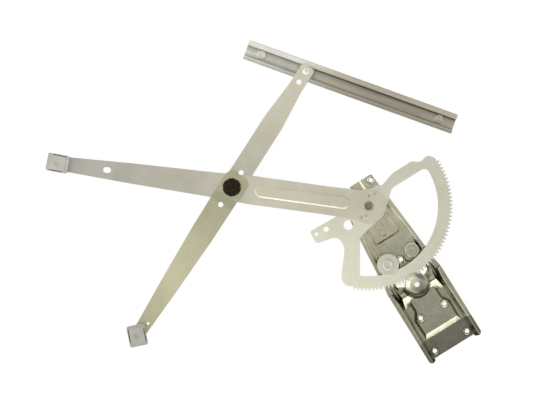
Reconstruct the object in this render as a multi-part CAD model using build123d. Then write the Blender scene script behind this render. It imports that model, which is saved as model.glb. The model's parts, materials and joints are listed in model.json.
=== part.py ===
from build123d import *
from math import atan2, cos, degrees, radians, sin, tan
import os

# Window regulator for a front door: a sector gear and a crossed pair of arms on a pressed
# base plate, a C-section guide rail and two plastic shoes for the glass channel.
# Millimetres and degrees. The back of the base plate, which lies on the door's inner panel, is
# z = 0, +Z faces the glass and +Y runs up the base plate. The pieces are drawn about the main
# pivot, and written out from the point midway between the lower door bolts.

# ---- fits -------------------------------------------------------------------------------
running_fit = 0.05          # radial, a pin turning in its bore
seat_fit = 0.02             # radial, a rivet or pin fixed in its hole
axial_gap = 0.15            # between faces that slide past each other
glide_gap = 0.3             # between a plastic slider and the steel round it

# ---- base plate: a drawn steel pressing, symmetric about the Y axis ---------------------
sheet = 1.5
plate_top = 37.0
plate_bottom = -237.4
top_half_width = 29.0
waist_y = -118.0
waist_half_width = 42.2
lower_half_width = 43.4
flange_end_reach = 3.1      # how far the side flanges run past the bottom edge
flange_corner = 6.0
flange_end_width = 9.6

motor_face = 9.0            # front of the flat face that the motor is screwed to
upper_field = 7.5
lower_field = 5.0
field_step_y = -56.0
field_end_inside_rim = 2.0  # the raised field ends this far inside the sector's rim
field_draft = 13.0
field_step_draft = 45.0
motor_draft = 27.0
bead_draft = 40.0
shoulder_draft = 15.0
upper_flange_height = 12.0
lower_flange_height = 20.0
flange_draft = 15.0
flange_start_y = -124.5
flange_neck_y = -139.5      # where the lower flange is widest
upper_flange_top_y = 16.0
groove_inner = ((16.5, 14.0), (17.9, -14.3), (24.7, -56.5), (28.3, -122.0))
groove_width = ((5.5, 14.0), (5.0, -14.3), (4.2, -56.5), (4.4, -124.5))

stiffener_left = -8.5
stiffener_right = 5.5
stiffener_end_y = -50.5
stiffener_rise = 2.0
field_crease = 1.6          # outside radii that the press leaves round the steeper forms
motor_crease = 1.6
flange_crease = 2.4
form_root = 1.6             # how far each raised form is sunk into the one below it

door_hole_radius = 3.3
upper_door_hole = (24.0, 29.5)
lower_door_hole = (27.2, -228.5)
door_pad_inner = 14.5
door_pad_bottom = 20.0
ledge_bottom = 8.0          # of the raised band across the plate below the door pads
motor_hole_radius = 3.3
motor_hole_inside_rim = 10.0
lower_motor_hole = (20.0, -177.0)
hole_ring_width = 2.3       # of the raised lip round each screw hole
hole_ring_rise = 0.6
hole_flare = 1.1            # how much wider the lip's mouth is than the hole
hole_flare_depth = 0.9      # from the lip's crest down to the plain bore
upper_ear_radius = 8.3

motor_neck_half_width = 23.1
motor_neck_top_y = -143.0
motor_neck_bottom_y = -166.0
motor_wide_half_width = 30.3
motor_wide_top_y = -176.5
motor_ramp_top_y = -201.0
motor_ramp_run = 7.5
motor_side_end_y = -214.0

# ---- gear geometry ----------------------------------------------------------------------
gear_module = 1.75
sector_full_teeth = 136     # teeth that a whole wheel of this size would have
sector_teeth = 51
pinion_teeth = 14           # of the motor's pinion, which this part doesn't include
first_tooth_angle = -132.7
pressure_angle = 20.0
sector_radius = gear_module * sector_full_teeth / 2
pinion_radius = gear_module * pinion_teeth / 2
dome_y = -(sector_radius + pinion_radius)

dome_foot_radius = 19.6
dome_rim_radius = 16.6
dome_rim_height = 25.5
dome_height = 29.2
dome_crown_radius = 10.0
dome_crown_round = 6.0
dome_rim_round = 3.0
pinion_hole_radius = 3.6
shoulder_height = 15.5
shoulder_half_width = 32.0
shoulder_root = -4.0        # level at which the two slopes would end
shoulder_front_y = -113.5
shoulder_crest_y = -136.5
shoulder_back_y = -162.0
shoulder_crest = 4.2
shoulder_round = 5.0
window_outer = (26.2, -121.4)
window_inner = (17.2, -126.4)
window_top_y = -108.0
tooth_clearance = 1.4

# ---- main pivot -------------------------------------------------------------------------
pivot_boss_height = 17.5
pivot_boss_radius = 13.0
pivot_boss_draft = 25.0
pivot_washer = 2.2
pivot_washer_radius = 12.5
pivot_radius = 5.0
pivot_tail_radius = 7.0
pivot_tail = 1.2
pivot_head_radius = 6.9
pivot_head = 1.8
pivot_dimple_radius = 4.6
pivot_dimple = 1.7

# ---- sector gear ------------------------------------------------------------------------
sector_thickness = 2.5
rim_inner_radius = 100.0
rim_tail = ((1.4, 8.6, 2.5), (8.5, 17.6, 5.0), (22.5, 14.6, 9.0))      # x is in from the pitch circle
spoke_edge = ((86.5, 22.2, 5.0), (54.0, 22.0, 30.0), (33.0, 15.0, 14.0))
hub_edge = ((16.0, 20.5, 6.0), (-8.0, 22.0, 6.0), (-46.5, 11.6, 8.0))
tail_edge = ((-90.2, 13.4, 4.0), (-91.6, -6.2, 4.5), (-60.8, -13.4, 11.0))
left_edge = ((-58.0, -31.0, 22.0), (-82.0, -60.5, 12.0), (-87.6, -68.0, 4.0), (-87.6, -79.0, 5.0))
window_edge = ((42.0, 4.3, 14.0), (14.0, -21.6, 20.0), (-33.5, -31.5, 10.0))
window_left_aim = (-77.0, -101.5)       # a point outside the rim that the window's left edge points at
window_tip_round = 8.0
balance_hole = (-38.4, -7.9, 6.9)
tail_holes = ((-68.6, 3.8, 3.8), (-83.9, 5.1, 2.5))
headed_rivets = ((14.6, 55.5), (14.6, -135.9))      # distance and direction from the pivot
flush_rivets = ((20.0, 32.0), (18.7, -154.6))
rivet_radius = 2.2
rivet_head_radius = 2.9
rivet_head = 0.35
rivet_dimple_radius = 1.5
rivet_dimple = 0.65

# ---- arms: the crossed pair -------------------------------------------------------------
arm_thickness = 2.5
main_arm_angle = 140.3
pivot_to_cross = 197.0
cross_to_shoe = 250.0
cross_to_rail = 197.0
rail_pin_bearing = 83.0     # direction of the rail pin from the main pivot
main_end_radius = 25.0
main_shoe_end_radius = 10.9
main_widths = ((0, 21.5), (60, 20.3), (170, 20.6), (220, 18.0), (344, 14.5), (428, 10.9))
main_rib_start = 27.0
main_rib_end = 164.0
main_rib_half_width = 9.0
main_rib_rise = 2.4
rib_draft = 38.0
arm_slot_at = 376.5
arm_slot_length = 11.3
arm_slot_width = 8.0
main_joggle_start = 38.0    # beyond the cross pivot
main_joggle_run = 130.0

front_joggle = 3.2
front_joggle_start = 14.6   # from the cross pivot
front_joggle_run = 13.4
joggle_bend = 12.0
front_end_reach = 19.6
front_end_corner = 9.0
front_widths = ((0, 18.1), (80, 17.1), (165, 13.7), (236, 9.8))
front_shoe_end_radius = 9.8
front_hole_at = 29.2
arm_hole_radius = 3.7
front_peg_hole_at = 227.8
front_peg_hole_side = 3.6
peg_hole_radius = 1.9

rear_end_reach = 19.0
rear_widths = ((0, 15.6), (110, 15.3), (168, 10.6), (190, 10.4))
rear_tip_reach = 8.0
rear_corner = 6.0
rear_hole_at = 24.8
rear_second_hole_at = 178.7

# ---- cross pivot ------------------------------------------------------------------------
cross_bearing_radius = 9.0
cross_bush_wall = 1.2
cross_neck_radius = 6.0
cross_head_radius = 9.5
cross_head = 1.4
cap_radius = 13.2
cap_height = 3.0
cap_lobes = 6
cap_lobe_depth = 0.9

# ---- guide rail, slider and studs -------------------------------------------------------
rail_length = 317.0
rail_width = 28.6
rail_depth = 9.0
rail_sheet = 1.2
rail_upper_lip = 7.3
rail_lower_lip = 5.0
rail_bend = 1.6
rail_angle = -51.6          # from the end near the arm's pin to the far end
rail_pin_from_end = 91.0
rail_clear_of_arm = 0.4
rail_stud_inset = 23.2
rail_stud_radius = 3.0
rail_stud_neck_radius = 3.5
rail_stud_length = 9.6
stud_hex = 11.5
stud_hex_height = 2.6
stud_bevel = 1.0
stud_dimple_radius = 3.2
stud_dimple = 0.5
rail_slider_length = 23.0
rail_pin_radius = 4.0
rail_pin_head_radius = 4.6
rail_pin_head = 2.2

# ---- glass shoes ------------------------------------------------------------------------
shoe_length = 30.4
shoe_width = 25.6
shoe_height = 8.0
shoe_corner = 2.6
shoe_lip = 1.0
shoe_slit = 1.3
shoe_slit_length = 19.0
shoe_step = 4.2
shoe_step_drop = 0.9
shoe_dimple_radius = 4.0
shoe_dimple = 1.0
shoe_clear_of_arm = 0.4
main_shoe_angle = -42.3
counter_shoe_angle = -110.3
shoe_stud_radius = 4.0
shoe_stud_collar_radius = 5.6
shoe_stud_tail_radius = 5.6
shoe_stud_tail = 1.4
shoe_floor = 1.6

# ---- rim guide and stop: two posts riveted into the plate's lower field ------------------
post_neck_radius = 3.4
post_tail_radius = 4.0
post_tail = 1.2
guide_bearing = -103.1      # direction from the main pivot
guide_overlap = 3.8         # of the disc over the sector's rim
guide_disc_radius = 15.5
guide_disc_thickness = 2.0
guide_collar_radius = 13.6
guide_shank_radius = 9.0
guide_neck_radius = 6.0
guide_head_radius = 7.6
guide_head = 1.2
guide_dimple_radius = 4.6
guide_dimple = 0.5
stop_bearing = -76.9
stop_gap = 1.7              # between the stop and the sector's rim
stop_radius = 10.0
stop_step_radius = 6.6
stop_step = 1.1
stop_dimple_radius = 3.2

# ---- levels worked out from the stack on the main pivot ---------------------------------
sector_back = pivot_boss_height + pivot_washer + axial_gap
sector_front = sector_back + sector_thickness
main_back = sector_front
main_front = main_back + arm_thickness
rear_front = main_back - axial_gap
rear_back = rear_front - arm_thickness
front_back = main_front + axial_gap
front_front = front_back + arm_thickness
outer_back = front_back + front_joggle      # both glass shoes run on arms at this level
outer_front = outer_back + arm_thickness
main_joggle = outer_back - main_back
rail_front = rear_back - rail_clear_of_arm
rail_back = rail_front - rail_depth
shoe_back = outer_front + shoe_clear_of_arm


def polar(radius, angle):
    return (radius * cos(radians(angle)), radius * sin(radians(angle)))


main_pivot = (0.0, 0.0)
cross_pivot = polar(pivot_to_cross, main_arm_angle)
main_shoe_at = polar(pivot_to_cross + cross_to_shoe, main_arm_angle)
fold_angle = main_arm_angle - rail_pin_bearing      # the two equal arms make an isosceles triangle
rail_pin_at = polar(2 * pivot_to_cross * cos(radians(fold_angle)), rail_pin_bearing)
counter_angle = degrees(atan2(rail_pin_at[1] - cross_pivot[1], rail_pin_at[0] - cross_pivot[0]))
front_angle = counter_angle + 180
shoe_step_out = polar(cross_to_shoe, front_angle)
counter_shoe_at = (cross_pivot[0] + shoe_step_out[0], cross_pivot[1] + shoe_step_out[1])
field_end_y = -(rim_inner_radius - field_end_inside_rim)
upper_motor_hole_y = -(rim_inner_radius - motor_hole_inside_rim)
guide_at = polar(rim_inner_radius + guide_overlap - guide_disc_radius, guide_bearing)
stop_at = polar(rim_inner_radius - stop_gap - stop_radius, stop_bearing)


# ---- helpers ----------------------------------------------------------------------------
def rounded(points):
    """Face inside a closed outline of (x, y, corner radius) points."""
    turn = sum(a[0] * b[1] - b[0] * a[1] for a, b in zip(points, [*points[1:], points[0]]))
    if turn < 0:
        points = points[::-1]
    corners = []
    for i, (x, y, radius) in enumerate(points):
        here = Vector(x, y)
        back = (Vector(*points[i - 1][:2]) - here).normalized()
        ahead = (Vector(*points[(i + 1) % len(points)][:2]) - here).normalized()
        if radius == 0:
            corners.append((here, None, here))
            continue
        half = radians(back.get_angle(ahead)) / 2
        reach = radius / tan(half)
        inward = (back + ahead).normalized()
        middle = here + inward * (radius / sin(half) - radius)
        corners.append((here + back * reach, middle, here + ahead * reach))
    edges = []
    for i, (start, middle, end) in enumerate(corners):
        if middle is not None:
            edges.append(ThreePointArc(start, middle, end))
        following = corners[(i + 1) % len(corners)][0]
        if (following - end).length > 1e-5:
            edges.append(Line(end, following))
    return Face(Wire(edges))


def both_sides(half):
    """Outline points for x > 0, from the top down, with their mirror image added."""
    return [*half, *[(-x, y, radius) for x, y, radius in reversed(half)]]


def prism(face, low, high):
    return extrude(Pos(0, 0, low) * face, amount=high - low, dir=(0, 0, 1))


def drafted(face, low, high, draft):
    return extrude(Pos(0, 0, low) * face, amount=high - low, taper=draft)


def disc(at, radius, low, high):
    return Pos(at[0], at[1], low) * extrude(Circle(radius), amount=high - low)


def cone(at, low_radius, high_radius, low, high):
    section = Polyline((0, low), (low_radius, low), (high_radius, high), (0, high), close=True)
    return Pos(at[0], at[1], 0) * revolve(Plane.XZ * make_face(section), Axis.Z)


def turned(at, profile):
    """Solid of revolution from (radius, z) points, closed on its axis."""
    points = [(0, profile[0][1]), *profile, (0, profile[-1][1])]
    section = Plane.XZ * make_face(Polyline(*points, close=True))
    return Pos(at[0], at[1], 0) * revolve(section, Axis.Z)


# ---- base plate -------------------------------------------------------------------------
def plate_outline():
    end_y = plate_bottom - flange_end_reach
    inner = lower_half_width - flange_end_width
    return rounded(both_sides([
        (top_half_width, plate_top, 3.0),
        (waist_half_width, waist_y, 0),
        (lower_half_width, flange_start_y, 0),
        (lower_half_width, end_y, flange_corner),
        (inner, end_y, 0.8),
        (inner - 1.0, plate_bottom, 0.8),
    ]))


def field_outline():
    (x0, y0), (x1, y1), (x2, y2), (x3, y3) = groove_inner
    beyond = top_half_width + 10
    return rounded(both_sides([
        (door_pad_inner - 1.5, plate_top + 10, 3.0),
        (door_pad_inner - 1.5, door_pad_bottom - 1, 2.0),
        (beyond, door_pad_bottom - 1, 3.0),
        (beyond, ledge_bottom, 3.0),
        (x0 + 0.3, ledge_bottom, 3.0),
        (x1, y1, 40.0),
        (x2, y2, 40.0),
        (x3 - 0.5, field_end_y - 6, 3.0),
    ]))


def upper_field_outline():
    (x0, y0), (x1, y1), (x2, y2), (x3, y3) = groove_inner
    return rounded(both_sides([
        (door_pad_inner - 2.5, plate_top + 10, 0),
        (door_pad_inner - 2.5, door_pad_bottom - 2, 3.0),
        (x0 - 0.7, y0, 0),
        (x1 - 0.7, y1, 0),
        (x2 - 1.2, field_step_y - 1.0, 6.0),
    ]))


def motor_outline():
    ear = upper_ear_radius
    x3, y3 = groove_inner[3]
    return rounded(both_sides([
        (ear, upper_motor_hole_y + ear, ear - 0.1),
        (ear, upper_motor_hole_y - 4.5, 5.0),
        (ear + 5.5, field_end_y, 3.0),
        (x3 - 0.9, field_end_y, 6.5),
        (x3 + 0.4, window_outer[1] - 2.5, 6.5),
        (motor_neck_half_width, motor_neck_top_y, 3.0),
        (motor_neck_half_width, motor_neck_bottom_y, 6.0),
        (motor_wide_half_width, motor_wide_top_y, 7.0),
        (motor_wide_half_width - 1.0, motor_side_end_y, 0),
    ]))


def flange_outline(upper):
    """Right side flange, run out past the plate's own outline, which trims it."""
    beyond = lower_half_width + 20
    if upper:
        spine = [(x + w, y) for (x, _), (w, y) in zip(groove_inner, groove_width)]
        points = [(spine[0][0] + 2, upper_flange_top_y, 2.0)]
        points += [(x, y, 0) for x, y in spine[1:3]]
        points += [(spine[3][0], flange_start_y - 6, 0)]
        points += [(beyond, flange_start_y - 6, 0), (beyond, upper_flange_top_y, 0)]
    else:
        foot = lower_half_width - 12.2
        points = [
            (foot + 2.0, flange_start_y + 2.5, 8.0),
            (foot, flange_neck_y, 30.0),
            (foot + 2.4, plate_bottom - 20, 8.0),
            (beyond, plate_bottom - 20, 8.0),
            (beyond, flange_start_y + 2.5, 8.0),
        ]
    return rounded(points)


def dome(inset):
    """Blind cup over the motor's pinion, dished down towards its rim."""
    foot = dome_foot_radius - inset
    rim = dome_rim_radius - inset
    cup = turned((0, dome_y), [
        (foot, 0), (foot, motor_face), (rim, dome_rim_height - inset),
        (dome_crown_radius, dome_height - inset),
    ])
    if inset:
        return cup
    rings = cup.edges().filter_by(GeomType.CIRCLE).group_by(Axis.Z)
    cup = fillet(rings[-1], dome_crown_round)
    rings = cup.edges().filter_by(GeomType.CIRCLE).sort_by(Axis.Z)
    at_rim = [e for e in rings if abs(e.center().Z - dome_rim_height) < 0.05]
    return fillet(at_rim, dome_rim_round)


def shoulder(inset):
    """Rounded ridge across the plate that braces the dome."""
    bend = 0 if inset else shoulder_round
    section = rounded([
        (shoulder_back_y, shoulder_root, 0),
        (shoulder_crest_y - shoulder_crest / 2, shoulder_height, bend),
        (shoulder_crest_y + shoulder_crest / 2, shoulder_height, bend),
        (shoulder_front_y, shoulder_root, 0),
    ])
    half_width = shoulder_half_width - inset / cos(radians(shoulder_draft))
    if inset:
        section = offset(section, amount=-inset, kind=Kind.INTERSECTION).face()
    ridge = extrude(Plane.YZ * section, amount=half_width, both=True)
    mould = rounded(both_sides([(half_width, shoulder_front_y, 0), (half_width, shoulder_back_y, 0)]))
    room = prism(mould, shoulder_root, 0) + drafted(mould, 0, shoulder_height + 1, shoulder_draft)
    return ridge & room


def pivot_boss(inset):
    """Drawn cup that lifts the main pivot clear of the plate."""
    rim = pivot_boss_radius - inset / 2
    foot = rim + tan(radians(pivot_boss_draft)) * (pivot_boss_height - upper_field)
    return turned(main_pivot, [
        (foot, 0), (foot, upper_field - form_root), (rim, pivot_boss_height - inset),
    ])


def pressing(inset):
    """The plate's front skin as a solid; inset by the sheet it is what the press leaves hollow."""
    low = 0 if inset == 0 else -1.0

    def form(face, base, top, draft, crease=0.0):
        if inset:
            face = offset(face, amount=-inset / cos(radians(draft)), kind=Kind.INTERSECTION).face()
        lower = prism(face, low, base) if base > low else None
        upper = drafted(face, base, top - inset, draft)
        if crease and not inset:
            upper = fillet(upper.faces().sort_by(Axis.Z)[-1].edges(), crease)
        return upper if lower is None else lower + upper

    field = form(field_outline(), 0.4, lower_field, field_draft, field_crease)
    upper = form(upper_field_outline(), lower_field - form_root, upper_field, field_step_draft)
    motor = form(motor_outline(), 1.5, motor_face, motor_draft, motor_crease)
    ramp_low = motor_ramp_top_y - motor_ramp_run * (motor_face + 2) / (motor_face - sheet)
    ramp_shift = inset * 1.4
    ramp = Plane.YZ * make_face(Polyline(
        (motor_ramp_top_y + ramp_shift, motor_face + 1e-3),
        (ramp_low + ramp_shift, -2),
        (ramp_low - 60, -2),
        (ramp_low - 60, motor_face + 1e-3),
        close=True,
    ))
    motor -= extrude(ramp, amount=2 * lower_half_width, both=True)
    stiffener = rounded([
        (stiffener_left, -6, 4.0), (stiffener_right, -6, 4.0),
        (stiffener_right, stiffener_end_y, 4.0), (stiffener_left, stiffener_end_y, 4.0),
    ])
    bead = form(stiffener, upper_field - form_root, upper_field + stiffener_rise, bead_draft)
    body = field + upper + motor + bead + shoulder(inset) + pivot_boss(inset) + dome(inset)
    for upper_part in (True, False):
        height = upper_flange_height if upper_part else lower_flange_height
        flange = form(flange_outline(upper_part), 0.4, height, flange_draft, flange_crease)
        body += flange
        body += mirror(flange, about=Plane.YZ)
    return body


def plate_holes():
    """(x, y, hole radius, height of the sheet there) for every screw hole."""
    found = []
    for side in (-1, 1):
        found.append((side * upper_door_hole[0], upper_door_hole[1], door_hole_radius, sheet))
        found.append((side * lower_door_hole[0], lower_door_hole[1], door_hole_radius, sheet))
        found.append((side * lower_motor_hole[0], lower_motor_hole[1], motor_hole_radius, motor_face))
    found.append((0, upper_motor_hole_y, motor_hole_radius, motor_face))
    return found


def base_plate():
    outline = plate_outline()
    skin = (pressing(0) + prism(outline, 0, sheet)) & prism(outline, 0, dome_height + 1)
    plate = skin - pressing(sheet)
    for x, y, radius, height in plate_holes():
        plate += cone((x, y), radius + hole_ring_width, radius + hole_flare,
                      height - 0.3, height + hole_ring_rise)
    slot_top = sector_front + 1.0
    window = rounded(both_sides([
        (window_outer[0] - 2, window_top_y, 2.0),
        (window_outer[0], window_outer[1], 1.0),
        (window_inner[0], window_inner[1], 0),
    ]))
    plate -= prism(window, -1, slot_top)
    reach = sector_radius + gear_module + tooth_clearance
    plate -= disc(main_pivot, reach, sector_back - 1.0, slot_top)
    for x, y, radius, height in plate_holes():
        crest = height + hole_ring_rise
        plate -= cone((x, y), radius, radius + hole_flare, crest - hole_flare_depth, crest)
        plate -= disc((x, y), radius, -1, height + 3)
    plate -= disc((0, dome_y), pinion_hole_radius, motor_face, dome_height + 1)
    plate -= disc(main_pivot, pivot_radius + seat_fit, -1, pivot_boss_height + 1)
    for x, y in (guide_at, stop_at):
        plate -= disc((x, y), post_neck_radius + seat_fit, -1, lower_field + 1)
    return plate


# ---- sector gear ------------------------------------------------------------------------
def tooth_points():
    """Outline of the toothed arc, from the first tooth to the last, turning anticlockwise."""
    pitch = 360 / sector_full_teeth
    tip = sector_radius + gear_module
    root = sector_radius - 1.25 * gear_module
    quarter = pitch / 4
    lean = degrees(tan(radians(pressure_angle)) * gear_module / sector_radius)
    points = []
    for tooth in range(sector_teeth):
        middle = first_tooth_angle + (tooth + 0.5) * pitch
        flank = [
            (root, -quarter - 1.25 * lean), (sector_radius, -quarter), (tip, -quarter + lean),
            (tip, quarter - lean), (sector_radius, quarter), (root, quarter + 1.25 * lean),
        ]
        points += [(*polar(radius, middle + turn), 0) for radius, turn in flank]
    return points


def sector_gear():
    rim_end = [(sector_radius - inward, y, corner) for inward, y, corner in rim_tail]
    outline = rounded([*tooth_points(), *rim_end, *spoke_edge, *hub_edge, *tail_edge, *left_edge])
    beyond = 1.2 * rim_inner_radius
    window = rounded([
        (beyond, window_edge[0][1], 0), *window_edge, (*window_left_aim, 0),
        (window_left_aim[0], -beyond, 0), (beyond, -beyond, 0),
    ]) & Circle(rim_inner_radius).face()
    tip = window.face().vertices().sort_by(Axis.X)[-1]
    window = fillet([tip], window_tip_round)
    blank = prism(outline, sector_back, sector_front)
    blank -= prism(window.face(), sector_back - 1, sector_front + 1)
    blank -= disc(main_pivot, pivot_radius + running_fit, sector_back - 1, sector_front + 1)
    for x, y, radius in (balance_hole, *tail_holes):
        blank -= disc((x, y), radius, sector_back - 1, sector_front + 1)
    for place in headed_rivets + flush_rivets:
        blank -= disc(polar(*place), rivet_radius + seat_fit, sector_back - 1, sector_front + 1)
    return blank


# ---- arms -------------------------------------------------------------------------------
def arm_plan(widths, start_points):
    """Tapered strip along +X; widths are (distance, half width) from its first station on."""
    upper = [(x, w) for x, w in widths]
    lower = [(x, -w) for x, w in reversed(widths)]
    return make_face(Polyline(*start_points, *upper, *lower, close=True))


def joggled(plan, back, rise, start, run):
    """Strip of sheet over a plan, back face at one level and then, past a joggle, at another."""
    front = back + arm_thickness
    reach = plan.bounding_box()
    low_x, high_x = reach.min.X - arm_thickness, reach.max.X + arm_thickness
    section = Plane.XZ * rounded([
        (low_x, back, 0), (start, back, joggle_bend), (start + run, back + rise, joggle_bend),
        (high_x, back + rise, 0), (high_x, front + rise, 0), (start + run, front + rise, joggle_bend),
        (start, front, joggle_bend), (low_x, front, 0),
    ])
    blank = extrude(plan, amount=front + rise + arm_thickness)
    return blank & extrude(section, amount=2 * main_end_radius, both=True)


def main_arm():
    length = pivot_to_cross + cross_to_shoe
    plan = arm_plan(main_widths + ((length, main_shoe_end_radius),), ())
    plan += Circle(main_end_radius)
    plan += Pos(length, 0) * Circle(main_shoe_end_radius)
    start = pivot_to_cross + main_joggle_start
    arm = joggled(plan, main_back, main_joggle, start, main_joggle_run)
    rib_length = main_rib_end - main_rib_start
    rib_middle = (main_rib_start + main_rib_end) / 2
    rib = Pos(rib_middle, 0, 0) * SlotOverall(rib_length, 2 * main_rib_half_width)
    hollow = offset(rib, amount=-arm_thickness * 0.5)
    arm += drafted(rib.face(), main_front - 0.2, main_front + main_rib_rise, rib_draft)
    arm -= drafted(hollow.face(), main_back - 0.2, main_back + main_rib_rise - 0.2, rib_draft)
    arm -= disc(main_pivot, pivot_radius + running_fit, main_back - 1, main_front + 1)
    arm -= disc((pivot_to_cross, 0), cross_bearing_radius + seat_fit, main_back - 1, main_front + 1)
    slot = SlotOverall(arm_slot_length, arm_slot_width)
    arm -= Pos(arm_slot_at, 0, main_back) * extrude(slot, amount=outer_front - main_back)
    for ring, angle in headed_rivets + flush_rivets:
        at = polar(ring, angle - main_arm_angle)
        arm -= disc(at, rivet_radius + seat_fit, main_back - 1, main_front + 1)
    arm -= disc((length, 0), shoe_stud_radius + seat_fit, outer_back - 1, outer_front + 1)
    return Rot(0, 0, main_arm_angle) * arm


def counter_arm_front():
    plan = rounded([
        (-front_end_reach, front_widths[0][1], front_end_corner),
        (-front_end_reach, -front_widths[0][1], front_end_corner),
        *[(x, -w, 0) for x, w in front_widths], *[(x, w, 0) for x, w in reversed(front_widths)],
    ])
    plan = plan + Pos(cross_to_shoe, 0) * Circle(front_shoe_end_radius)
    last_x, last_w = front_widths[-1]
    plan += Pos((last_x + cross_to_shoe) / 2, 0) * Rectangle(cross_to_shoe - last_x, 2 * last_w)
    arm = joggled(plan, front_back, front_joggle, front_joggle_start, front_joggle_run)
    arm -= disc((0, 0), cross_neck_radius + seat_fit, front_back - 1, front_front + 1)
    arm -= disc((front_hole_at, 0), arm_hole_radius, outer_back - 1, outer_front + 1)
    peg_hole = (front_peg_hole_at, front_peg_hole_side)
    arm -= disc(peg_hole, peg_hole_radius, outer_back - 1, outer_front + 1)
    arm -= disc((cross_to_shoe, 0), shoe_stud_radius + seat_fit, outer_back - 1, outer_front + 1)
    return Pos(*cross_pivot) * Rot(0, 0, front_angle) * arm


def counter_arm_rear():
    tip_x = cross_to_rail + rear_tip_reach
    tip_w = rear_widths[-1][1]
    plan = rounded([
        (-rear_end_reach, rear_widths[0][1], front_end_corner),
        (-rear_end_reach, -rear_widths[0][1], front_end_corner),
        *[(x, -w, 0) for x, w in rear_widths],
        (tip_x, -tip_w, rear_corner), (tip_x, tip_w, rear_corner),
        *[(x, w, 0) for x, w in reversed(rear_widths)],
    ])
    arm = prism(plan, rear_back, rear_front)
    arm -= disc((0, 0), cross_neck_radius + seat_fit, rear_back - 1, rear_front + 1)
    arm -= disc((rear_hole_at, 0), arm_hole_radius, rear_back - 1, rear_front + 1)
    arm -= disc((rear_second_hole_at, 0), arm_hole_radius, rear_back - 1, rear_front + 1)
    arm -= disc((cross_to_rail, 0), rail_pin_radius + seat_fit, rear_back - 1, rear_front + 1)
    return Pos(*cross_pivot) * Rot(0, 0, counter_angle) * arm


# ---- pivots and rivets ------------------------------------------------------------------
def main_pivot_pin():
    boss_back = pivot_boss_height - sheet
    head_back = main_front + axial_gap
    pin = turned(main_pivot, [
        (pivot_tail_radius, boss_back - pivot_tail), (pivot_tail_radius, boss_back),
        (pivot_radius, boss_back), (pivot_radius, head_back),
        (pivot_head_radius, head_back), (pivot_head_radius, head_back + pivot_head * 0.5),
        (pivot_head_radius - 1.4, head_back + pivot_head),
    ])
    dimple = cone(main_pivot, pivot_dimple_radius - 1.6, pivot_dimple_radius,
                  head_back + pivot_head - pivot_dimple, head_back + pivot_head + 0.01)
    return pin - dimple


def main_pivot_washer():
    top = pivot_boss_height + pivot_washer
    ring = disc(main_pivot, pivot_washer_radius, pivot_boss_height, top)
    return ring - disc(main_pivot, pivot_radius + seat_fit, pivot_boss_height - 1, top + 1)


def sector_rivets():
    rivets = [disc(polar(*place), rivet_radius, sector_back, main_front) for place in flush_rivets]
    for place in headed_rivets:
        at = polar(*place)
        top = main_front + rivet_head
        rivet = disc(at, rivet_radius, sector_back, main_front)
        rivet += cone(at, rivet_head_radius, rivet_head_radius - 0.4, main_front, top)
        rivet -= cone(at, rivet_dimple_radius - 0.6, rivet_dimple_radius, top - rivet_dimple, top + 0.01)
        rivets.append(rivet)
    return Compound(children=rivets)


def cross_pivot_bush():
    outer = cross_bearing_radius
    ring = disc(cross_pivot, outer, main_back, main_front)
    return ring - disc(cross_pivot, outer - cross_bush_wall, main_back - 1, main_front + 1)


def cross_pivot_pin():
    bearing = cross_bearing_radius - cross_bush_wall - running_fit
    return turned(cross_pivot, [
        (cross_head_radius - 0.8, rear_back - cross_head), (cross_head_radius, rear_back),
        (cross_neck_radius, rear_back),
        (cross_neck_radius, rear_front), (bearing, rear_front),
        (bearing, front_back), (cross_neck_radius, front_back),
        (cross_neck_radius, front_front), (cross_head_radius, front_front),
        (cross_head_radius, front_front + cross_head),
    ])


def cross_pivot_cap():
    """Lobed plastic cap pressed over the front head of the cross pivot."""
    cap = cone(cross_pivot, cap_radius, cap_radius - 1.4, front_front, front_front + cap_height)
    for lobe in range(cap_lobes):
        notch = polar(cap_radius + 1.2, (lobe + 0.5) * 360 / cap_lobes)
        at = (cross_pivot[0] + notch[0], cross_pivot[1] + notch[1])
        cap -= disc(at, 1.2 + cap_lobe_depth, front_front - 1, front_front + cap_height + 1)
    seat = front_front + cross_head + seat_fit
    cap -= disc(cross_pivot, cross_head_radius + seat_fit, front_front - 1, seat)
    return cap


def guide_disc_pin():
    disc_front = sector_front + axial_gap + guide_disc_thickness
    top = disc_front + axial_gap + guide_head
    pin = turned(guide_at, [
        (post_tail_radius, lower_field - sheet - post_tail), (post_tail_radius, lower_field - sheet),
        (post_neck_radius, lower_field - sheet), (post_neck_radius, lower_field),
        (guide_shank_radius, lower_field), (guide_shank_radius, upper_flange_height - 1.2),
        (guide_collar_radius, upper_flange_height + 0.6), (guide_collar_radius, sector_back - axial_gap),
        (guide_neck_radius, sector_back - axial_gap), (guide_neck_radius, disc_front + axial_gap),
        (guide_head_radius, disc_front + axial_gap),
        (guide_head_radius, top - guide_head * 0.5), (guide_head_radius - 1.0, top),
    ])
    dimple_floor = top - guide_dimple
    return pin - cone(guide_at, guide_dimple_radius - 1.0, guide_dimple_radius, dimple_floor, top + 0.01)


def guide_disc():
    back = sector_front + axial_gap
    front = back + guide_disc_thickness
    plate = cone(guide_at, guide_disc_radius, guide_disc_radius - 0.6, front - 0.6, front)
    plate += disc(guide_at, guide_disc_radius, back, front - 0.6)
    return plate - disc(guide_at, guide_neck_radius + running_fit, back - 1, front + 1)


def travel_stop():
    top = sector_front + 0.6
    stop = turned(stop_at, [
        (post_tail_radius, lower_field - sheet - post_tail), (post_tail_radius, lower_field - sheet),
        (post_neck_radius, lower_field - sheet), (post_neck_radius, lower_field),
        (stop_radius, lower_field), (stop_radius, top - 0.8),
        (stop_radius - 0.8, top), (stop_step_radius, top), (stop_step_radius - 0.5, top + stop_step),
    ])
    return stop - cone(stop_at, stop_dimple_radius - 0.8, stop_dimple_radius,
                       top + stop_step - 0.9, top + stop_step + 0.01)


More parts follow.
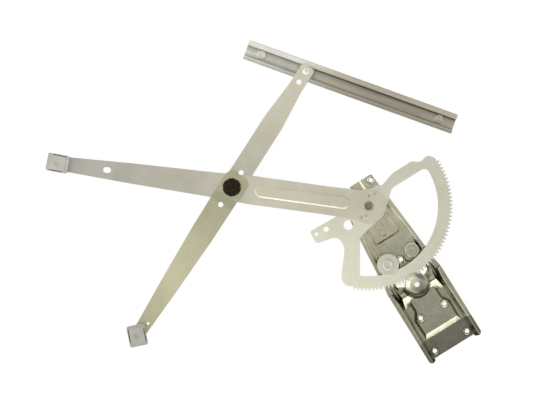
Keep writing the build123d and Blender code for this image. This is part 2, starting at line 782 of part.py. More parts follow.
# ---- rail -------------------------------------------------------------------------------
def on_rail(shape):
    """Places a shape drawn along the rail, with x from the rail pin and y towards the upper lip."""
    return Pos(rail_pin_at[0], rail_pin_at[1], 0) * Rot(0, 0, rail_angle) * shape


rail_low_x = -rail_pin_from_end
rail_high_x = rail_length - rail_pin_from_end
rail_slot_width = rail_width - rail_upper_lip - rail_lower_lip
rail_stud_x = (rail_low_x + rail_stud_inset, rail_high_x - rail_stud_inset)
rail_middle_y = (rail_upper_lip - rail_lower_lip) / 2     # so that the pin is mid-slot


def rail_section():
    half = rail_width / 2
    outer = [
        (-half + rail_lower_lip, rail_front), (-half, rail_front), (-half, rail_back),
        (half, rail_back), (half, rail_front), (half - rail_upper_lip, rail_front),
        (half - rail_upper_lip, rail_front - rail_sheet),
        (half - rail_sheet, rail_front - rail_sheet), (half - rail_sheet, rail_back + rail_sheet),
        (-half + rail_sheet, rail_back + rail_sheet), (-half + rail_sheet, rail_front - rail_sheet),
        (-half + rail_lower_lip, rail_front - rail_sheet),
    ]
    bends = [0, rail_bend, rail_bend, rail_bend, rail_bend, 0, 0]
    inner_bend = rail_bend - rail_sheet
    bends += [inner_bend, inner_bend, inner_bend, inner_bend, 0]
    return rounded([(y, z, bend) for (y, z), bend in zip(outer, bends)])


def guide_rail():
    section = Plane.YZ * rail_section()
    rail = Pos(rail_low_x, rail_middle_y, 0) * extrude(section, amount=rail_length, dir=(1, 0, 0))
    for x in rail_stud_x:
        rail -= disc((x, rail_middle_y), rail_stud_neck_radius + seat_fit, rail_back - 1, rail_back + 3)
    return on_rail(rail)


def rail_stud(x):
    """Hexagon head inside the channel and a shank out of its back."""
    at = (x, rail_middle_y)
    floor = rail_back + rail_sheet
    top = floor + stud_hex_height
    flats = stud_hex / 2
    head = Pos(*at, floor) * extrude(RegularPolygon(flats, 6, major_radius=False), amount=stud_hex_height)
    bevel = cone(at, flats + 1.4, flats - 0.2, top - stud_bevel, top)
    head = head & (bevel + disc(at, stud_hex, floor, top - stud_bevel))
    head -= cone(at, stud_dimple_radius - 0.6, stud_dimple_radius, top - stud_dimple, top + 0.01)
    shank = turned(at, [
        (rail_stud_radius - 0.8, rail_back - rail_stud_length),
        (rail_stud_radius, rail_back - rail_stud_length + 0.8), (rail_stud_radius, rail_back),
        (rail_stud_neck_radius, rail_back), (rail_stud_neck_radius, floor),
    ])
    return on_rail(head + shank)


def rail_slider():
    floor = rail_back + rail_sheet + glide_gap
    under_lip = rail_front - rail_sheet - glide_gap
    half_width = rail_width / 2 - rail_sheet - glide_gap
    length = rail_slider_length
    body = Pos(0, rail_middle_y, floor) * extrude(
        RectangleRounded(length, 2 * half_width, 2.0), amount=under_lip - floor)
    slot_half = rail_slot_width / 2 - glide_gap
    neck = Pos(0, 0, floor) * extrude(RectangleRounded(length - 3, 2 * slot_half, 1.5),
                                      amount=rail_front - floor - 0.1)
    block = body + neck
    spring_slot = SlotOverall(length - 7, 1.2)
    for side in (-1, 1):
        y = rail_middle_y + side * (half_width - 1.9)
        block -= Pos(0, y, floor - 1) * extrude(spring_slot, amount=under_lip - floor + 2)
    block -= disc((0, 0), rail_pin_radius + running_fit, floor - 1, rail_front + 1)
    return on_rail(block)


def rail_pin():
    floor = rail_back + rail_sheet + glide_gap + 0.3
    head_edge = rear_front + 0.5
    shank = turned(rail_pin_at, [
        (rail_pin_radius - 0.6, floor), (rail_pin_radius, floor + 0.6), (rail_pin_radius, rear_front),
        (rail_pin_head_radius, rear_front), (rail_pin_head_radius, head_edge),
        (rail_pin_head_radius - 0.7, rear_front + rail_pin_head * 0.6),
        (rail_pin_head_radius - 2.2, rear_front + rail_pin_head),
    ])
    return shank


# ---- glass shoes ------------------------------------------------------------------------
def shoe_stud(at):
    """Stud riveted in the arm's end, with a collar behind the shoe and a tail behind the arm."""
    top = shoe_back + shoe_height - shoe_floor - 0.3
    return turned(at, [
        (shoe_stud_tail_radius - 0.8, outer_back - shoe_stud_tail), (shoe_stud_tail_radius, outer_back),
        (shoe_stud_radius, outer_back), (shoe_stud_radius, outer_front),
        (shoe_stud_collar_radius, outer_front),
        (shoe_stud_collar_radius, outer_front + shoe_clear_of_arm * 0.6),
        (shoe_stud_radius, outer_front + shoe_clear_of_arm * 0.6),
        (shoe_stud_radius, top),
    ])


def glass_shoe(at, angle):
    front = shoe_back + shoe_height
    block = Pos(0, 0, shoe_back) * extrude(
        RectangleRounded(shoe_length, shoe_width, shoe_corner), amount=shoe_height)
    for side in (-1, 1):
        y = side * (shoe_width / 2 - shoe_lip - shoe_slit / 2)
        block -= Pos(side * 1.2, y, shoe_back + shoe_floor) * extrude(
            SlotOverall(shoe_slit_length, shoe_slit), amount=shoe_height)
        x = side * (shoe_length / 2 - shoe_step / 2 + 1)
        end_step = Box(shoe_step + 2, shoe_width + 2, shoe_step_drop + 0.01)
        block -= Pos(x, 0, front - shoe_step_drop / 2) * end_step
    dimple_floor = front - shoe_dimple
    block -= cone((0, 0), shoe_dimple_radius - 0.8, shoe_dimple_radius, dimple_floor, front + 0.01)
    bore_top = front - shoe_floor
    block -= disc((0, 0), shoe_stud_radius + running_fit, shoe_back - 1, bore_top)
    return Pos(at[0], at[1], 0) * Rot(0, 0, angle) * block


# ---- export -----------------------------------------------------------------------------
def build_all():
    return {
        "base_plate": base_plate(),
        "main_pivot_pin": main_pivot_pin(),
        "main_pivot_washer": main_pivot_washer(),
        "sector_gear": sector_gear(),
        "main_arm": main_arm(),
        "sector_rivets": sector_rivets(),
        "guide_disc": guide_disc(),
        "guide_disc_pin": guide_disc_pin(),
        "travel_stop": travel_stop(),
        "counter_arm_rear": counter_arm_rear(),
        "counter_arm_front": counter_arm_front(),
        "cross_pivot_bush": cross_pivot_bush(),
        "cross_pivot_pin": cross_pivot_pin(),
        "cross_pivot_cap": cross_pivot_cap(),
        "guide_rail": guide_rail(),
        "rail_stud_near": rail_stud(rail_stud_x[0]),
        "rail_stud_far": rail_stud(rail_stud_x[1]),
        "rail_slider": rail_slider(),
        "rail_pin": rail_pin(),
        "main_shoe": glass_shoe(main_shoe_at, main_shoe_angle),
        "main_shoe_stud": shoe_stud(main_shoe_at),
        "counter_shoe": glass_shoe(counter_shoe_at, counter_shoe_angle),
        "counter_shoe_stud": shoe_stud(counter_shoe_at),
    }


os.makedirs("parts", exist_ok=True)
from_door_bolts = Pos(0, -lower_door_hole[1], 0)
for node, shape in build_all().items():
    export_step(from_door_bolts * shape, f"parts/{node}.step")
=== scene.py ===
import json
from math import cos, radians, sin

import bpy
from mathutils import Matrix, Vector


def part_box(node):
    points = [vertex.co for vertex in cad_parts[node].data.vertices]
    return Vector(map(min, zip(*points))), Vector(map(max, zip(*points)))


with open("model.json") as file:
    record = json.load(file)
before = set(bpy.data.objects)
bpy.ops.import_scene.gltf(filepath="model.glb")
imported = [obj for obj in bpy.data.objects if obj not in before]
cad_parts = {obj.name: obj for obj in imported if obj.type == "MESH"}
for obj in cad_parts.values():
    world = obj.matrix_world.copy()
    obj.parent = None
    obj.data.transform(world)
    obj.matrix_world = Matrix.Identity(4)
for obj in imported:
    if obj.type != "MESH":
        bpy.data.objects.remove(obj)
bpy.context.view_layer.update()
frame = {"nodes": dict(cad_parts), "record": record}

# Looks of a window regulator. Metres throughout, in the CAD frame: +Z faces the glass and the
# camera, +Y runs up the base plate, z = 0 is the back of the base plate. The shapes are the CAD's;
# this script gives each of its pieces a finish, and adds the camera, the light and the floor.

# ---- the photograph's view --------------------------------------------------------------
image_width, image_height = 533, 400
metres_per_pixel = 0.00143
pivot_pixel = (368.3, 206.3)        # where the main pivot shows
plate_roll = 31.8                   # degrees that the plate's +X is turned from the image's right
camera_distance = 2.6
focus_height = 0.022                # the level at which the scale above holds
sensor_width = 36.0                 # mm
nearest_seen, farthest_seen = 0.05, 50.0

left_ward = Vector((-cos(radians(plate_roll)), sin(radians(plate_roll)), 0))     # the image's left
down_ward = Vector((-sin(radians(plate_roll)), -cos(radians(plate_roll)), 0))    # the image's foot

low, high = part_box("main_pivot_pin")
pivot = Vector(((low.x + high.x) / 2, (low.y + high.y) / 2, 0.0))


def at_pixel(x, y):
    """Point at the focus height that shows at a pixel of the photograph."""
    across = (x - pivot_pixel[0]) * metres_per_pixel
    up = (pivot_pixel[1] - y) * metres_per_pixel
    roll = radians(plate_roll)
    along_x = across * cos(roll) + up * sin(roll)
    along_y = up * cos(roll) - across * sin(roll)
    return pivot + Vector((along_x, along_y, focus_height))


def make_camera():
    data = bpy.data.cameras.new("camera")
    data.sensor_width = sensor_width
    data.lens = sensor_width * camera_distance / (image_width * metres_per_pixel)
    data.clip_start, data.clip_end = nearest_seen, farthest_seen
    camera = bpy.data.objects.new("camera", data)
    bpy.context.collection.objects.link(camera)
    camera.location = at_pixel(image_width / 2, image_height / 2) + Vector((0, 0, camera_distance))
    camera.rotation_euler = (0, 0, -radians(plate_roll))
    bpy.context.scene.camera = camera


# ---- floor ------------------------------------------------------------------------------
floor_size = 14
floor_drop = 0.0006                 # how far the floor lies below the plate's back
paper_colour = (0.15, 0.15, 0.15, 1)
paper_glow, paper_glow_strength = (1.0, 1.0, 0.99, 1), 0.92
paper_roughness = 0.9


def make_floor():
    """Pale paper sweep, lit from within so that it stays even, and kept out of reflections."""
    bpy.ops.mesh.primitive_plane_add(size=floor_size, location=(0, 0, -floor_drop))
    floor = bpy.context.object
    floor.name = "floor"
    paper = bpy.data.materials.new("floor_paper")
    paper.use_nodes = True
    shader = paper.node_tree.nodes["Principled BSDF"]
    shader.inputs["Base Color"].default_value = paper_colour
    shader.inputs["Roughness"].default_value = paper_roughness
    shader.inputs["Specular IOR Level"].default_value = 0.0
    shader.inputs["Emission Color"].default_value = paper_glow
    shader.inputs["Emission Strength"].default_value = paper_glow_strength
    floor.data.materials.append(paper)
    floor.visible_glossy = False


# ---- light ------------------------------------------------------------------------------
# Light tent: bright round the sides, calmer overhead, dark below the table. Each row is the sine
# of the height above the horizon, and the brightness there.
tent_profile = (
    (-1.0, 0.04), (-0.50, 0.08), (-0.25, 1.60), (0.05, 1.90), (0.22, 1.00), (0.65, 0.80),
    (0.91, 0.90), (0.98, 0.58), (1.0, 0.50))
tent_colour = (1.0, 1.0, 0.985)

# Patches of the tent. Each row is where the patch lies (image right, image foot, degrees from
# straight up), the degrees from its centre where it starts to fade and where it has faded out,
# and what it multiplies the tent's light by.
tent_patches = (
    ((0.62, 0.78, 50), 8, 28, 0.10),        # darkens forms that lean to the lower right
    ((0.53, 0.85, 92), 12, 32, 1.85),       # lights the ramp of the motor's seat
    ((-0.8, 0.3, 62), 10, 32, 1.4),         # lights forms that lean to the left
    ((0.5, -0.86, 55), 12, 40, 0.35))       # darkens forms that lean to the upper right


class Tent:
    """The world's light by direction: a profile over height, with brighter and darker patches."""

    def __init__(self):
        world = bpy.data.worlds.new("studio")
        bpy.context.scene.world = world
        world.use_nodes = True
        self.nodes, self.links = world.node_tree.nodes, world.node_tree.links
        self.back = self.nodes["Background"]
        self.way = self.nodes.new("ShaderNodeTexCoord").outputs["Generated"]
        self.level = None

    def ranged(self, value, from_min, from_max, to_min, to_max):
        node = self.nodes.new("ShaderNodeMapRange")
        node.interpolation_type = "SMOOTHSTEP"
        numbers = {"From Min": from_min, "From Max": from_max, "To Min": to_min, "To Max": to_max}
        for name, number in numbers.items():
            node.inputs[name].default_value = number
        self.links.new(value, node.inputs["Value"])
        return node.outputs[0]

    def times(self, factor):
        if self.level is None:
            self.level = factor
            return
        node = self.nodes.new("ShaderNodeMath")
        node.operation = "MULTIPLY"
        self.links.new(self.level, node.inputs[0])
        self.links.new(factor, node.inputs[1])
        self.level = node.outputs[0]

    def profile(self, levels):
        """levels are (sine of the height above the horizon, brightness)."""
        split = self.nodes.new("ShaderNodeSeparateXYZ")
        self.links.new(self.way, split.inputs[0])
        height = self.nodes.new("ShaderNodeMapRange")
        height.inputs["From Min"].default_value = -1.0
        self.links.new(split.outputs["Z"], height.inputs["Value"])
        ramp = self.nodes.new("ShaderNodeValToRGB")
        stops = ramp.color_ramp.elements
        stops[0].position, stops[1].position = 0.0, 1.0
        for height_sine, _ in levels[1:-1]:
            stops.new((height_sine + 1) / 2)
        for stop, (_, level) in zip(stops, levels):
            stop.color = (level, level, level, 1)
        self.links.new(height.outputs[0], ramp.inputs[0])
        self.times(ramp.outputs[0])

    def patch(self, aim, core, reach, factor):
        """Multiplies the light by factor within core degrees of a direction, fading out by reach."""
        dot = self.nodes.new("ShaderNodeVectorMath")
        dot.operation = "DOT_PRODUCT"
        dot.inputs[1].default_value = aim.normalized()
        self.links.new(self.way, dot.inputs[0])
        edge, full = cos(radians(reach)), cos(radians(core))
        self.times(self.ranged(dot.outputs["Value"], edge, full, 1.0, factor))

    def light(self, colour):
        self.back.inputs["Color"].default_value = (*colour, 1)
        self.links.new(self.level, self.back.inputs["Strength"])


def aimed(across, down, from_zenith):
    """Direction that leans from straight up by so many degrees, to a mix of image right and foot."""
    flat = (down_ward * down - left_ward * across).normalized()
    return flat * sin(radians(from_zenith)) + Vector((0, 0, cos(radians(from_zenith))))


def make_world():
    tent = Tent()
    tent.profile(tent_profile)
    for aim, core, reach, factor in tent_patches:
        tent.patch(aimed(*aim), core, reach, factor)
    tent.light(tent_colour)


def make_light(name, place, size, power):
    """Soft box at a place given from the main pivot, aimed at the pivot."""
    data = bpy.data.lights.new(name, "AREA")
    data.shape = "RECTANGLE"
    data.size, data.size_y = size
    data.energy = power
    light = bpy.data.objects.new(name, data)
    bpy.context.collection.objects.link(light)
    light.location = pivot + place
    light.rotation_euler = (-place).to_track_quat("-Z", "Y").to_euler()


# ---- textures ---------------------------------------------------------------------------
mix_first, mix_second, mix_result = 6, 7, 2     # a Mix node's colour sockets


class Surface:
    """A Principled material with helpers for the textures that vary it."""

    def __init__(self, name):
        self.material = bpy.data.materials.new(name)
        self.material.use_nodes = True
        self.nodes = self.material.node_tree.nodes
        self.links = self.material.node_tree.links
        self.shader = self.nodes["Principled BSDF"]
        self.place = self.nodes.new("ShaderNodeTexCoord").outputs["Object"]

    def set(self, **values):
        for name, value in values.items():
            self.shader.inputs[name.replace("_", " ")].default_value = value

    def feed(self, name, value):
        self.links.new(value, self.shader.inputs[name])

    def stretched(self, times, turn):
        """Coordinates that draw a texture out by so many times along a line, turn degrees from X."""
        mapping = self.nodes.new("ShaderNodeMapping")
        mapping.vector_type = "TEXTURE"
        mapping.inputs["Rotation"].default_value = (0, 0, radians(turn))
        mapping.inputs["Scale"].default_value = (times, 1, 1)
        self.links.new(self.place, mapping.inputs[0])
        return mapping.outputs[0]

    def noise(self, scale, detail, vector=None):
        noise = self.nodes.new("ShaderNodeTexNoise")
        noise.inputs["Scale"].default_value = scale
        noise.inputs["Detail"].default_value = detail
        self.links.new(vector or self.place, noise.inputs["Vector"])
        return noise.outputs["Fac"]

    def spread(self, value, low, high, start=0.3, end=0.7):
        """Maps a texture's middle stretch, start to end, on to low to high."""
        span = self.nodes.new("ShaderNodeMapRange")
        for name, number in (("From Min", start), ("From Max", end), ("To Min", low), ("To Max", high)):
            span.inputs[name].default_value = number
        self.links.new(value, span.inputs["Value"])
        return span.outputs[0]

    def join(self, a, b, how="MULTIPLY"):
        node = self.nodes.new("ShaderNodeMath")
        node.operation = how
        self.links.new(a, node.inputs[0])
        self.links.new(b, node.inputs[1])
        return node.outputs[0]

    def measured(self, start, direction):
        """Distance of a point from start, along direction."""
        dot = self.nodes.new("ShaderNodeVectorMath")
        dot.operation = "DOT_PRODUCT"
        dot.inputs[1].default_value = direction
        self.links.new(self.place, dot.inputs[0])
        less = self.nodes.new("ShaderNodeMath")
        less.operation = "SUBTRACT"
        less.inputs[1].default_value = start.dot(direction)
        self.links.new(dot.outputs["Value"], less.inputs[0])
        return less.outputs[0]

    def away(self, centre):
        """Distance from an upright line through centre."""
        flat = self.nodes.new("ShaderNodeVectorMath")
        flat.operation = "MULTIPLY"
        flat.inputs[1].default_value = (1, 1, 0)
        self.links.new(self.place, flat.inputs[0])
        distance = self.nodes.new("ShaderNodeVectorMath")
        distance.operation = "DISTANCE"
        distance.inputs[1].default_value = (centre.x, centre.y, 0)
        self.links.new(flat.outputs[0], distance.inputs[0])
        return distance.outputs["Value"]

    def curve(self, value, points):
        """Maps a value through points of (value, level), in rising order."""
        first, last = points[0][0], points[-1][0]
        ramp = self.nodes.new("ShaderNodeValToRGB")
        stops = ramp.color_ramp.elements
        for at, _ in points[1:-1]:
            stops.new((at - first) / (last - first))
        for stop, (_, level) in zip(stops, points):
            stop.color = (level, level, level, 1)
        self.links.new(self.spread(value, 0.0, 1.0, first, last), ramp.inputs[0])
        return ramp.outputs[0]

    def scaled(self, colour, level):
        node = self.nodes.new("ShaderNodeVectorMath")
        node.operation = "SCALE"
        self.links.new(colour, node.inputs[0])
        self.links.new(level, node.inputs["Scale"])
        return node.outputs[0]

    def tint(self, first, second, mask):
        """Mixes two colours: the first where the mask is 0, the second where it is 1."""
        mix = self.nodes.new("ShaderNodeMix")
        mix.data_type = "RGBA"
        mix.inputs[mix_first].default_value = (*first, 1)
        mix.inputs[mix_second].default_value = (*second, 1)
        self.links.new(mask, mix.inputs[0])
        return mix.outputs[mix_result]

    def dyed(self, colour, dye, mask):
        """Multiplies a colour by dye where the mask is 1."""
        node = self.nodes.new("ShaderNodeVectorMath")
        node.operation = "MULTIPLY"
        self.links.new(colour, node.inputs[0])
        self.links.new(self.tint((1, 1, 1), dye, mask), node.inputs[1])
        return node.outputs[0]

    def bump(self, height, strength, distance):
        node = self.nodes.new("ShaderNodeBump")
        node.inputs["Strength"].default_value = strength
        node.inputs["Distance"].default_value = distance
        self.links.new(height, node.inputs["Height"])
        self.links.new(node.outputs[0], self.shader.inputs["Normal"])


# ---- materials --------------------------------------------------------------------------
# Scales of the textures are in cells per metre.
sheet_cloud = 26.0                  # the patina's clouds
rolling_lines, rolling_stretch = 420.0, 25.0
rolling_gloss = 0.92, 1.08          # what the lines multiply the roughness by
sheet_grain, sheet_specks, sheet_dents = 300.0, 2600.0, 90.0
dent_height = 4.0                   # of a full dent, against the rolling lines' 1
sheet_bump, sheet_bump_depth = 0.4, 0.00012
smoother, rougher = -0.05, 0.07     # what the clouds add to a sheet's roughness

moulding_grain = 900.0
moulding_bump, moulding_bump_depth = 0.12, 0.00008
glossier, duller = -0.06, 0.08      # what the clouds add to a moulding's roughness


def zinc(name, pale, dull, roughness, turn=0.0, dents=0.4, cloud=sheet_cloud, speckle=0.02,
         shade=None, matt=None, dye=None, dyed=None):
    """Zinc on rolled sheet: cloudy patina, fine rolling lines turn degrees from X, faint dents.

    shade and matt give a surface's slow changes of brightness and of roughness, and dyed gives where
    the colour dye multiplies its own."""
    surface = Surface(name)
    surface.set(Metallic=1.0)
    clouds = surface.noise(cloud, 5.0)
    lines = surface.noise(rolling_lines, 2.0, surface.stretched(rolling_stretch, turn))
    specks = surface.noise(sheet_specks, 1.0)
    grain = surface.noise(sheet_grain, 2.0)
    colour = surface.tint(pale, dull, surface.spread(clouds, 0.0, 1.0, 0.32, 0.68))
    if dyed:
        colour = surface.dyed(colour, dye, dyed(surface))
    level = surface.spread(grain, 1.0 - speckle, 1.0 + speckle, 0.35, 0.65)
    if shade:
        level = surface.join(level, shade(surface))
    surface.feed("Base Color", surface.scaled(colour, level))
    rough = surface.spread(clouds, roughness + smoother, roughness + rougher)
    if matt:
        rough = surface.join(rough, matt(surface))
    surface.feed("Roughness", surface.join(rough, surface.spread(lines, *rolling_gloss)))
    hammered = surface.spread(surface.noise(sheet_dents, 2.0), 0.0, dent_height * dents, 0.0, 1.0)
    height = surface.join(lines, surface.join(specks, hammered, "ADD"), "ADD")
    surface.bump(height, sheet_bump, sheet_bump_depth)
    return surface.material


def plastic(name, colour, worn, roughness, shine=0.5, cloud=60.0):
    """Moulded plastic: a fine grain and faint uneven gloss."""
    surface = Surface(name)
    surface.set(Specular_IOR_Level=shine)
    clouds = surface.noise(cloud, 4.0)
    surface.feed("Base Color", surface.tint(colour, worn, surface.spread(clouds, 0.0, 1.0)))
    surface.feed("Roughness", surface.spread(clouds, roughness + glossier, roughness + duller))
    surface.bump(surface.noise(moulding_grain, 2.0), moulding_bump, moulding_bump_depth)
    return surface.material


# ---- shading by place -------------------------------------------------------------------
def middle(node):
    low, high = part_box(node)
    return (low + high) / 2


def flat_way(start, node):
    """Direction in plan from a point to the middle of a node."""
    return ((middle(node) - start) * Vector((1, 1, 0))).normalized()


def graded(start, direction, points):
    """Level that goes through points of (distance from start along direction, level)."""
    return lambda surface: surface.curve(surface.measured(start, direction), points)


mounts = {mount["name"]: mount for mount in frame["record"]["mounts"]}
screw_mounts = "door_bolts_lower", "door_bolts_upper", "motor_screws_lower", "motor_screw_upper"

# Painted light and shade on the plate: darker from the main pivot to the plate's foot, with a step at
# the foot of the ramp, so that the ramp above it is painted bright and the flat below it dark. Each row
# is the distance up the plate from the main pivot, and the level there.
plate_up = Vector((0, 1, 0))
plate_painted_levels = (
    (-0.235, 0.46), (-0.2095, 0.50), (-0.2082, 0.9), (-0.15, 0.96), (-0.10, 1.08), (-0.02, 1.50))

# Painted shade round the dome's foot on its dark side, and a painted highlight on its crown on the lit
# side.
dome = Vector(mounts["pinion_bearing"]["pos_m"])
dome_lit = (left_ward * 0.3 - down_ward).normalized()       # the lit side, spared the painted shade
dome_dark = -(dome_lit + left_ward).normalized()            # the side in painted shade
dome_foot = ((0.0, 1.0), (0.0206, 1.0), (0.0216, 0.0), (0.03, 0.0))     # distance from the axis, painted shade
lit_top_shift = 0.0038                # from the dome's axis to the middle of its lit top
beyond_lit_top = ((0.0, 0.0), (0.0145, 0.0), (0.0168, 1.0), (0.04, 1.0))
below_axis = ((-0.02, 0.0), (0.0, 0.0), (0.006, 1.0), (0.03, 1.0))
dark_side = ((-0.02, 0.0), (0.001, 0.0), (0.013, 0.55), (0.02, 0.55))
painted_shade_level = 0.16                       # level where the painted shade is full
highlight_shift = 0.004                # from the dome's axis to the painted highlight, each way
painted_highlight = ((0.0, 1.85), (0.005, 1.75), (0.011, 1.0), (0.03, 1.0))

# Painted shade and highlight round each screw hole: a dark edge, a bright lip and a dark foot. Each row
# is the distance outside the hole's edge, and the level there.
hole_painted_shade = 0.30
hole_painted_rings = (
    (0.0008, hole_painted_shade), (0.0012, 1.35), (0.0021, 1.25), (0.0025, 0.55), (0.0032, 0.60), (0.0040, 1.0))


def screw_holes():
    """Centre and radius, in metres, of each of the plate's bolt and screw holes."""
    for name in screw_mounts:
        mount = mounts[name]
        sizes = mount["dims"]
        apart = sizes.get("spacing_x_mm", 0) / 1000
        radius = sizes.get("hole_r_mm", sizes.get("r_mm")) / 1000
        for side in (-0.5, 0.5) if apart else (0,):
            yield Vector(mount["pos_m"]) + Vector((side * apart, 0, 0)), radius


def plate_shade(surface):
    """Painted light and shade on the plate, painted shade on the dome's foot, a painted highlight on
    its crown, and painted rings round the screw holes.
    """
    # painted light and shade up the plate
    painted_along_plate = surface.curve(surface.measured(pivot, plate_up), plate_painted_levels)
    inside = surface.curve(surface.away(dome), dome_foot)
    beyond = surface.curve(surface.away(dome + dome_lit * lit_top_shift), beyond_lit_top)
    below = surface.curve(surface.measured(dome, -dome_lit), below_axis)
    far_side = surface.curve(surface.measured(dome, dome_dark), dark_side)
    crescent = surface.join(surface.join(beyond, below), far_side, "MAXIMUM")
    # painted shade round the dome's foot
    painted_shade = surface.spread(surface.join(inside, crescent), 1.0, painted_shade_level, 0.0, 1.0)
    crown = dome + dome_lit * highlight_shift + left_ward * highlight_shift
    # painted highlight on the dome's crown
    highlight_level = surface.curve(surface.away(crown), painted_highlight)
    level = surface.join(painted_along_plate, surface.join(painted_shade, highlight_level))
    # painted rings of shade and highlight round the screw holes
    for centre, radius in screw_holes():
        rings = [(0.0, hole_painted_shade), *((radius + out, shown) for out, shown in hole_painted_rings)]
        level = surface.join(level, surface.curve(surface.away(centre), rings))
    return level


rail_start = middle("rail_stud_near")
rail_run = (middle("rail_stud_far") - rail_start) * Vector((1, 1, 0))
rail_way = rail_run.normalized()
rail_up = Vector((-rail_way.y, rail_way.x, 0))      # towards the rail's wide lip

# Painted shade in the rail, where the lips shade its floor: by the distance across it, from the studs'
# line towards the wide lip, and how much of it there is by the distance along it.
rail_painted_shade = (
    (-0.0150, 0.55), (-0.0132, 0.50), (-0.0115, 0.24), (-0.0097, 0.20), (-0.0093, 0.50),
    (-0.0080, 0.40), (-0.0060, 0.22), (-0.0030, 0.14), (0.0, 0.20), (0.0025, 0.32),
    (0.0045, 0.46), (0.0055, 0.72), (0.0068, 0.74), (0.0072, 0.0), (0.0125, 0.0),
    (0.0142, 0.20), (0.0150, 0.20))
rail_painted_shade_along = ((-0.03, 0.70), (0.05, 0.72), (0.09, 0.9), (0.14, 1.0), (0.30, 1.0))
rail_painted_light_and_shade = (                     # painted light and shade, by the distance along the rail
    (-0.03, 1.22), (0.05, 1.20), (0.08, 1.08), (0.12, 0.92), (0.16, 0.80), (0.20, 0.78), (0.30, 0.92))
rail_turn = -51.6                   # degrees from X to the rail
rail_streaks, rail_streak_stretch = 300.0, 20.0
rail_streak_levels = 0.90, 1.08


def rail_shade(surface):
    """Painted shade along the foot of each lip, less of it towards the end near the slider, and painted
    light and shade along the rail, brightest at that end.
    """
    across = surface.curve(surface.measured(rail_start, rail_up), rail_painted_shade)
    length = surface.measured(rail_start, rail_way)
    amount = surface.curve(length, rail_painted_shade_along)
    painted_shade = surface.spread(surface.join(across, amount), 1.0, 0.0, 0.0, 1.0)
    # painted light and shade along the rail
    along = surface.curve(length, rail_painted_light_and_shade)
    streaks = surface.noise(rail_streaks, 3.0, surface.stretched(rail_streak_stretch, rail_turn))
    return surface.join(surface.join(painted_shade, along), surface.spread(streaks, *rail_streak_levels))


# ---- finishes ---------------------------------------------------------------------------
cross = middle("cross_pivot_cap")
main_arm_turn, counter_arm_turn = -39.7, 25.7       # degrees from X to each arm
main_way = flat_way(pivot, "main_shoe")
arm_colours = (0.82, 0.78, 0.66), (0.71, 0.68, 0.545)

# Painted light and shade along each arm: the main arm darker towards its shoe, the front counter arm
# lightest part-way along, the rear counter arm lighter towards the rail pin.
arm_finish = zinc(
    "main_arm_zinc_finish", *arm_colours, roughness=0.46, turn=main_arm_turn,
    dye=(1.0, 1.03, 1.12),
    dyed=graded(pivot, main_way, ((0.0, 0.0), (0.24, 0.0), (0.42, 1.0), (0.46, 1.0))),
    shade=graded(pivot, main_way, (
        (-0.03, 0.97), (0.15, 1.03), (0.20, 0.92), (0.30, 0.83), (0.38, 0.75), (0.45, 0.68))))
front_finish = zinc(
    "front_counter_zinc_finish", (0.85, 0.82, 0.58), (0.73, 0.71, 0.48), roughness=0.46,
    turn=counter_arm_turn,
    shade=graded(cross, flat_way(cross, "counter_shoe"), (
        (0.0, 0.72), (0.05, 0.72), (0.10, 0.84), (0.15, 0.92), (0.20, 0.80), (0.25, 0.68))))
rear_finish = zinc(
    "rear_counter_zinc_finish", *arm_colours, roughness=0.46, turn=counter_arm_turn,
    shade=graded(cross, flat_way(cross, "rail_pin"), (
        (0.0, 0.88), (0.08, 0.92), (0.13, 1.03), (0.20, 1.12))))
# Painted light: the sector grows lighter along left_ward and down_ward, towards the view's lower left.
sector_finish = zinc(
    "sector_zinc_finish", (0.84, 0.83, 0.70), (0.75, 0.74, 0.60), roughness=0.48, turn=20.0,
    shade=graded(pivot, left_ward * 0.6 + down_ward * 0.8, (
        (-0.10, 0.98), (-0.02, 1.02), (0.05, 1.11), (0.10, 1.22))))
plate_finish = zinc(
    "plate_zinc_finish", (0.57, 0.555, 0.44), (0.43, 0.415, 0.31), roughness=0.20, turn=90.0,
    dents=1.2, cloud=40.0, speckle=0.06, shade=plate_shade)
rail_finish = zinc(
    "rail_zinc_finish", (0.82, 0.81, 0.76), (0.76, 0.75, 0.69), roughness=0.44, turn=rail_turn,
    shade=rail_shade,
    matt=graded(rail_start, rail_way, ((-0.03, 1.5), (0.05, 1.5), (0.10, 1.0), (0.30, 1.0))),
    dye=(0.97, 0.92, 0.78),
    dyed=graded(rail_start, rail_way, ((0.0, 0.0), (0.05, 0.0), (0.12, 1.0), (0.30, 1.0))))

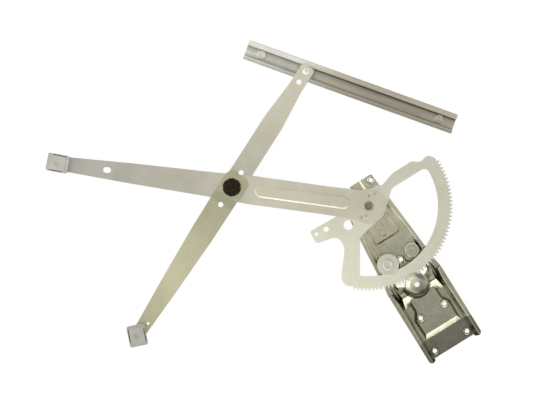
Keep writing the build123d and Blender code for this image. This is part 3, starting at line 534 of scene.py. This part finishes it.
pin_finish = zinc("pin_zinc_finish", (0.68, 0.66, 0.55), (0.56, 0.54, 0.44), roughness=0.33)
pivot_finish = zinc("pivot_zinc_finish", (0.38, 0.35, 0.26), (0.27, 0.25, 0.18), roughness=0.33)
guide_pin_finish = zinc(
    "guide_pin_zinc_finish", (0.76, 0.74, 0.61), (0.70, 0.68, 0.55), roughness=0.52)
bright_pin_finish = zinc(
    "bright_pin_zinc_finish", (0.90, 0.89, 0.84), (0.84, 0.82, 0.76), roughness=0.50)
stud_finish = zinc("stud_zinc_finish", (0.60, 0.58, 0.49), (0.48, 0.46, 0.38), roughness=0.34)

disc_finish = plastic(
    "disc_plastic_finish", (0.70, 0.68, 0.58), (0.62, 0.60, 0.50), roughness=0.42)
bush_finish = plastic(
    "bush_plastic_finish", (0.10, 0.10, 0.10), (0.07, 0.07, 0.07), roughness=0.45)
cap_finish = plastic(
    "cap_plastic_finish", (0.004, 0.003, 0.002), (0.042, 0.030, 0.019), roughness=0.45,
    shine=0.08, cloud=450.0)
main_shoe_finish = plastic(
    "main_shoe_plastic_finish", (0.61, 0.595, 0.55), (0.53, 0.515, 0.47), roughness=0.45, shine=0.3)
shoe_finish = plastic(
    "shoe_plastic_finish", (0.51, 0.50, 0.45), (0.42, 0.41, 0.365), roughness=0.45, shine=0.3)

finishes = {
    "base_plate": plate_finish, "sector_gear": sector_finish, "main_arm": arm_finish,
    "counter_arm_rear": rear_finish, "counter_arm_front": front_finish, "guide_rail": rail_finish,
    "rail_stud_near": bright_pin_finish, "rail_pin": bright_pin_finish,
    "main_pivot_pin": pivot_finish, "guide_disc_pin": guide_pin_finish, "travel_stop": stud_finish,
    "guide_disc": disc_finish, "cross_pivot_bush": bush_finish, "cross_pivot_cap": cap_finish,
    "main_shoe": main_shoe_finish, "counter_shoe": shoe_finish, "rail_slider": shoe_finish,
}
for node, piece in frame["nodes"].items():
    for holder in piece.material_slots:
        holder.material = finishes.get(node, pin_finish)

# ---- the studio -------------------------------------------------------------------------
make_camera()
make_floor()
make_world()
make_light("key_left", place=left_ward * 1.7 + down_ward * 0.2 + Vector((0, 0, 1.2)),
           size=(1.3, 1.3), power=6)
make_light("strip_below", place=down_ward * 2.0 + Vector((0, 0, 0.35)), size=(2.2, 0.6), power=10)
bpy.context.scene.view_settings.view_transform = "Standard"
